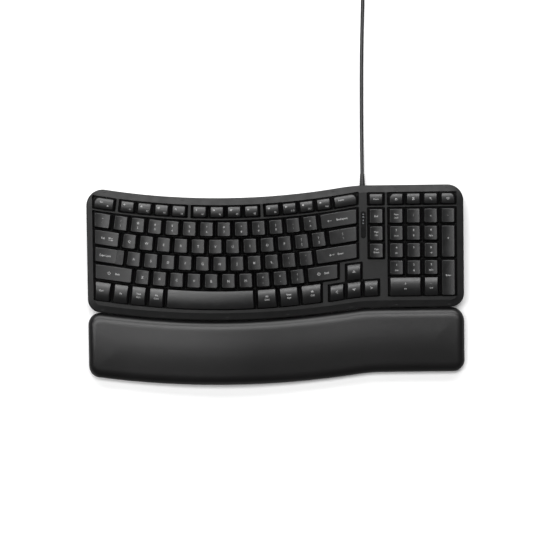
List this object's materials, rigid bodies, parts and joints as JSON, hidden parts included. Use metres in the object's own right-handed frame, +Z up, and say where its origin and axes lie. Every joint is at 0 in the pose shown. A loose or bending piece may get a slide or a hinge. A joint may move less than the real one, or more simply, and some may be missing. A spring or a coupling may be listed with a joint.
{
  "type": "ergonomic keyboard",
  "caption": "Full-size black wired keyboard with bowed, waved key rows, a straight numeric pad, a padded palm rest and folding feet.",
  "frame": {"origin": "on the desk, under the middle of the keyboard and its palm rest", "axes": "+X to the typist's right, +Y to the rear, +Z up"},
  "size_m": [0.4172, 0.5162, 0.0352],
  "materials": {
    "case_black": "fine satin texture",
    "base_black": "matte moulded",
    "frame_black": "matte moulded",
    "key_black": "fine satin texture",
    "palm_leather": "soft grained leatherette",
    "foam_grey": "open cell foam",
    "dome_rubber": "smooth silicone",
    "membrane_film": "printed film",
    "plate_steel": "plain sheet",
    "wire_steel": "drawn wire",
    "screw_steel": "blackened",
    "board_green": "solder mask",
    "window_smoke": "smoked, polished",
    "pad_rubber": "matte",
    "cable_black": "satin jacket",
    "plug_steel": "bright plated",
    "plug_insulator": "moulded"
  },
  "bodies": {
    "keyboard": {"top_case": "case_black", "bottom_case": "base_black", "key_frame": "frame_black", "dome_sheet": "dome_rubber", "contact_membrane": "membrane_film", "steel_plate": "plate_steel", "controller_board": "board_green", "indicator_window": "window_smoke", "indicator_board": "board_green", "case_screws": "screw_steel", "case_pads": "pad_rubber", "palm_tray": "base_black", "palm_foam": "foam_grey", "palm_cover": "palm_leather", "strain_relief": "cable_black", "cable": "cable_black", "cable_coil": "cable_black", "coil_tie": "cable_black", "plug_body": "cable_black", "plug_shell": "plug_steel", "plug_tongue": "plug_insulator"},
    "escape_key": {"escape_key": "key_black"},
    "f1_to_f4_keys": {"f1_to_f4_keys": "key_black"},
    "f5_to_f8_keys": {"f5_to_f8_keys": "key_black"},
    "f9_to_f12_keys": {"f9_to_f12_keys": "key_black"},
    "delete_key": {"delete_key": "key_black"},
    "digit_row_keys": {"digit_row_keys": "key_black"},
    "backspace_key": {"backspace_key": "key_black"},
    "tab_key": {"tab_key": "key_black"},
    "top_row_keys": {"top_row_keys": "key_black"},
    "backslash_key": {"backslash_key": "key_black"},
    "caps_lock_key": {"caps_lock_key": "key_black"},
    "home_row_keys": {"home_row_keys": "key_black"},
    "enter_key": {"enter_key": "key_black"},
    "left_shift_key": {"left_shift_key": "key_black"},
    "bottom_row_keys": {"bottom_row_keys": "key_black"},
    "right_shift_key": {"right_shift_key": "key_black"},
    "left_control_key": {"left_control_key": "key_black"},
    "left_modifier_keys": {"left_modifier_keys": "key_black"},
    "space_bar": {"space_bar": "key_black"},
    "right_modifier_keys": {"right_modifier_keys": "key_black"},
    "right_control_key": {"right_control_key": "key_black"},
    "up_arrow_key": {"up_arrow_key": "key_black"},
    "left_arrow_key": {"left_arrow_key": "key_black"},
    "down_arrow_key": {"down_arrow_key": "key_black"},
    "right_arrow_key": {"right_arrow_key": "key_black"},
    "home_key": {"home_key": "key_black"},
    "navigation_keys": {"navigation_keys": "key_black"},
    "hot_keys": {"hot_keys": "key_black"},
    "numpad_top_keys": {"numpad_top_keys": "key_black"},
    "numpad_digit_keys": {"numpad_digit_keys": "key_black"},
    "numpad_plus_key": {"numpad_plus_key": "key_black"},
    "numpad_enter_key": {"numpad_enter_key": "key_black"},
    "numpad_zero_key": {"numpad_zero_key": "key_black"},
    "numpad_point_key": {"numpad_point_key": "key_black"},
    "space_bar_wire": {"space_bar_wire": "wire_steel"},
    "left_foot": {"left_tilt_foot": "base_black", "left_foot_tip": "pad_rubber"},
    "right_foot": {"right_tilt_foot": "base_black", "right_foot_tip": "pad_rubber"}
  },
  "joints": [
    {"name": "escape_press", "type": "slide", "parent": "keyboard", "child": "escape_key", "axis": [0, 0.0698, -0.9976], "range_m": [0, 0.0028], "stiffness_N_per_m": 180, "springref_m": -0.0016, "deforming": ["dome_sheet"]},
    {"name": "f1_to_f4_press", "type": "slide", "parent": "keyboard", "child": "f1_to_f4_keys", "axis": [0, 0.0698, -0.9976], "range_m": [0, 0.0028], "stiffness_N_per_m": 720, "springref_m": -0.0016, "deforming": ["dome_sheet"]},
    {"name": "f5_to_f8_press", "type": "slide", "parent": "keyboard", "child": "f5_to_f8_keys", "axis": [0, 0.0698, -0.9976], "range_m": [0, 0.0028], "stiffness_N_per_m": 720, "springref_m": -0.0016, "deforming": ["dome_sheet"]},
    {"name": "f9_to_f12_press", "type": "slide", "parent": "keyboard", "child": "f9_to_f12_keys", "axis": [0, 0.0698, -0.9976], "range_m": [0, 0.0028], "stiffness_N_per_m": 720, "springref_m": -0.0016, "deforming": ["dome_sheet"]},
    {"name": "delete_press", "type": "slide", "parent": "keyboard", "child": "delete_key", "axis": [0, 0.0698, -0.9976], "range_m": [0, 0.0028], "stiffness_N_per_m": 180, "springref_m": -0.0016, "deforming": ["dome_sheet"]},
    {"name": "digit_row_press", "type": "slide", "parent": "keyboard", "child": "digit_row_keys", "axis": [0, 0.0698, -0.9976], "range_m": [0, 0.0028], "stiffness_N_per_m": 2340, "springref_m": -0.0016, "deforming": ["dome_sheet"]},
    {"name": "backspace_press", "type": "slide", "parent": "keyboard", "child": "backspace_key", "axis": [0, 0.0698, -0.9976], "range_m": [0, 0.0028], "stiffness_N_per_m": 180, "springref_m": -0.0016, "deforming": ["dome_sheet"]},
    {"name": "tab_press", "type": "slide", "parent": "keyboard", "child": "tab_key", "axis": [0, 0.0698, -0.9976], "range_m": [0, 0.0028], "stiffness_N_per_m": 180, "springref_m": -0.0016, "deforming": ["dome_sheet"]},
    {"name": "top_row_press", "type": "slide", "parent": "keyboard", "child": "top_row_keys", "axis": [0, 0.0698, -0.9976], "range_m": [0, 0.0028], "stiffness_N_per_m": 2160, "springref_m": -0.0016, "deforming": ["dome_sheet"]},
    {"name": "backslash_press", "type": "slide", "parent": "keyboard", "child": "backslash_key", "axis": [0, 0.0698, -0.9976], "range_m": [0, 0.0028], "stiffness_N_per_m": 180, "springref_m": -0.0016, "deforming": ["dome_sheet"]},
    {"name": "caps_lock_press", "type": "slide", "parent": "keyboard", "child": "caps_lock_key", "axis": [0, 0.0698, -0.9976], "range_m": [0, 0.0028], "stiffness_N_per_m": 180, "springref_m": -0.0016, "deforming": ["dome_sheet"]},
    {"name": "home_row_press", "type": "slide", "parent": "keyboard", "child": "home_row_keys", "axis": [0, 0.0698, -0.9976], "range_m": [0, 0.0028], "stiffness_N_per_m": 1980, "springref_m": -0.0016, "deforming": ["dome_sheet"]},
    {"name": "enter_press", "type": "slide", "parent": "keyboard", "child": "enter_key", "axis": [0, 0.0698, -0.9976], "range_m": [0, 0.0028], "stiffness_N_per_m": 180, "springref_m": -0.0016, "deforming": ["dome_sheet"]},
    {"name": "left_shift_press", "type": "slide", "parent": "keyboard", "child": "left_shift_key", "axis": [0, 0.0698, -0.9976], "range_m": [0, 0.0028], "stiffness_N_per_m": 180, "springref_m": -0.0016, "deforming": ["dome_sheet"]},
    {"name": "bottom_row_press", "type": "slide", "parent": "keyboard", "child": "bottom_row_keys", "axis": [0, 0.0698, -0.9976], "range_m": [0, 0.0028], "stiffness_N_per_m": 1800, "springref_m": -0.0016, "deforming": ["dome_sheet"]},
    {"name": "right_shift_press", "type": "slide", "parent": "keyboard", "child": "right_shift_key", "axis": [0, 0.0698, -0.9976], "range_m": [0, 0.0028], "stiffness_N_per_m": 180, "springref_m": -0.0016, "deforming": ["dome_sheet"]},
    {"name": "left_control_press", "type": "slide", "parent": "keyboard", "child": "left_control_key", "axis": [0, 0.0698, -0.9976], "range_m": [0, 0.0028], "stiffness_N_per_m": 180, "springref_m": -0.0016, "deforming": ["dome_sheet"]},
    {"name": "left_modifier_press", "type": "slide", "parent": "keyboard", "child": "left_modifier_keys", "axis": [0, 0.0698, -0.9976], "range_m": [0, 0.0028], "stiffness_N_per_m": 540, "springref_m": -0.0016, "deforming": ["dome_sheet"]},
    {"name": "space_bar_press", "type": "slide", "parent": "keyboard", "child": "space_bar", "axis": [0, 0.0698, -0.9976], "range_m": [0, 0.0028], "stiffness_N_per_m": 180, "springref_m": -0.0016, "deforming": ["dome_sheet"]},
    {"name": "right_modifier_press", "type": "slide", "parent": "keyboard", "child": "right_modifier_keys", "axis": [0, 0.0698, -0.9976], "range_m": [0, 0.0028], "stiffness_N_per_m": 360, "springref_m": -0.0016, "deforming": ["dome_sheet"]},
    {"name": "right_control_press", "type": "slide", "parent": "keyboard", "child": "right_control_key", "axis": [0, 0.0698, -0.9976], "range_m": [0, 0.0028], "stiffness_N_per_m": 180, "springref_m": -0.0016, "deforming": ["dome_sheet"]},
    {"name": "up_arrow_press", "type": "slide", "parent": "keyboard", "child": "up_arrow_key", "axis": [0, 0.0698, -0.9976], "range_m": [0, 0.0028], "stiffness_N_per_m": 180, "springref_m": -0.0016, "deforming": ["dome_sheet"]},
    {"name": "left_arrow_press", "type": "slide", "parent": "keyboard", "child": "left_arrow_key", "axis": [0, 0.0698, -0.9976], "range_m": [0, 0.0028], "stiffness_N_per_m": 180, "springref_m": -0.0016, "deforming": ["dome_sheet"]},
    {"name": "down_arrow_press", "type": "slide", "parent": "keyboard", "child": "down_arrow_key", "axis": [0, 0.0698, -0.9976], "range_m": [0, 0.0028], "stiffness_N_per_m": 180, "springref_m": -0.0016, "deforming": ["dome_sheet"]},
    {"name": "right_arrow_press", "type": "slide", "parent": "keyboard", "child": "right_arrow_key", "axis": [0, 0.0698, -0.9976], "range_m": [0, 0.0028], "stiffness_N_per_m": 180, "springref_m": -0.0016, "deforming": ["dome_sheet"]},
    {"name": "home_press", "type": "slide", "parent": "keyboard", "child": "home_key", "axis": [0, 0.0698, -0.9976], "range_m": [0, 0.0028], "stiffness_N_per_m": 180, "springref_m": -0.0016, "deforming": ["dome_sheet"]},
    {"name": "navigation_press", "type": "slide", "parent": "keyboard", "child": "navigation_keys", "axis": [0, 0.0698, -0.9976], "range_m": [0, 0.0028], "stiffness_N_per_m": 540, "springref_m": -0.0016, "deforming": ["dome_sheet"]},
    {"name": "hot_press", "type": "slide", "parent": "keyboard", "child": "hot_keys", "axis": [0, 0.0698, -0.9976], "range_m": [0, 0.0028], "stiffness_N_per_m": 720, "springref_m": -0.0016, "deforming": ["dome_sheet"]},
    {"name": "numpad_top_press", "type": "slide", "parent": "keyboard", "child": "numpad_top_keys", "axis": [0, 0.0698, -0.9976], "range_m": [0, 0.0028], "stiffness_N_per_m": 720, "springref_m": -0.0016, "deforming": ["dome_sheet"]},
    {"name": "numpad_digit_press", "type": "slide", "parent": "keyboard", "child": "numpad_digit_keys", "axis": [0, 0.0698, -0.9976], "range_m": [0, 0.0028], "stiffness_N_per_m": 1620, "springref_m": -0.0016, "deforming": ["dome_sheet"]},
    {"name": "numpad_plus_press", "type": "slide", "parent": "keyboard", "child": "numpad_plus_key", "axis": [0, 0.0698, -0.9976], "range_m": [0, 0.0028], "stiffness_N_per_m": 180, "springref_m": -0.0016, "deforming": ["dome_sheet"]},
    {"name": "numpad_enter_press", "type": "slide", "parent": "keyboard", "child": "numpad_enter_key", "axis": [0, 0.0698, -0.9976], "range_m": [0, 0.0028], "stiffness_N_per_m": 180, "springref_m": -0.0016, "deforming": ["dome_sheet"]},
    {"name": "numpad_zero_press", "type": "slide", "parent": "keyboard", "child": "numpad_zero_key", "axis": [0, 0.0698, -0.9976], "range_m": [0, 0.0028], "stiffness_N_per_m": 180, "springref_m": -0.0016, "deforming": ["dome_sheet"]},
    {"name": "numpad_point_press", "type": "slide", "parent": "keyboard", "child": "numpad_point_key", "axis": [0, 0.0698, -0.9976], "range_m": [0, 0.0028], "stiffness_N_per_m": 180, "springref_m": -0.0016, "deforming": ["dome_sheet"]},
    {"name": "wire_swing", "type": "hinge", "parent": "keyboard", "child": "space_bar_wire", "pos_m": [-0.0722, -0.0067, 0.01477], "axis": [0.9998, -0.0213, -0.0015], "range_deg": [0, 18.2]},
    {"name": "left_foot_swing", "type": "hinge", "parent": "keyboard", "child": "left_foot", "pos_m": [-0.172, 0.093, 0.00316], "axis": [1, 0, 0], "range_deg": [0, 100]},
    {"name": "right_foot_swing", "type": "hinge", "parent": "keyboard", "child": "right_foot", "pos_m": [0.172, 0.093, 0.00316], "axis": [1, 0, 0], "range_deg": [0, 100]}
  ],
  "couplings": [
    {"joint": "wire_swing", "follows": "space_bar_press", "rad_per_m": 112.99}
  ]
}
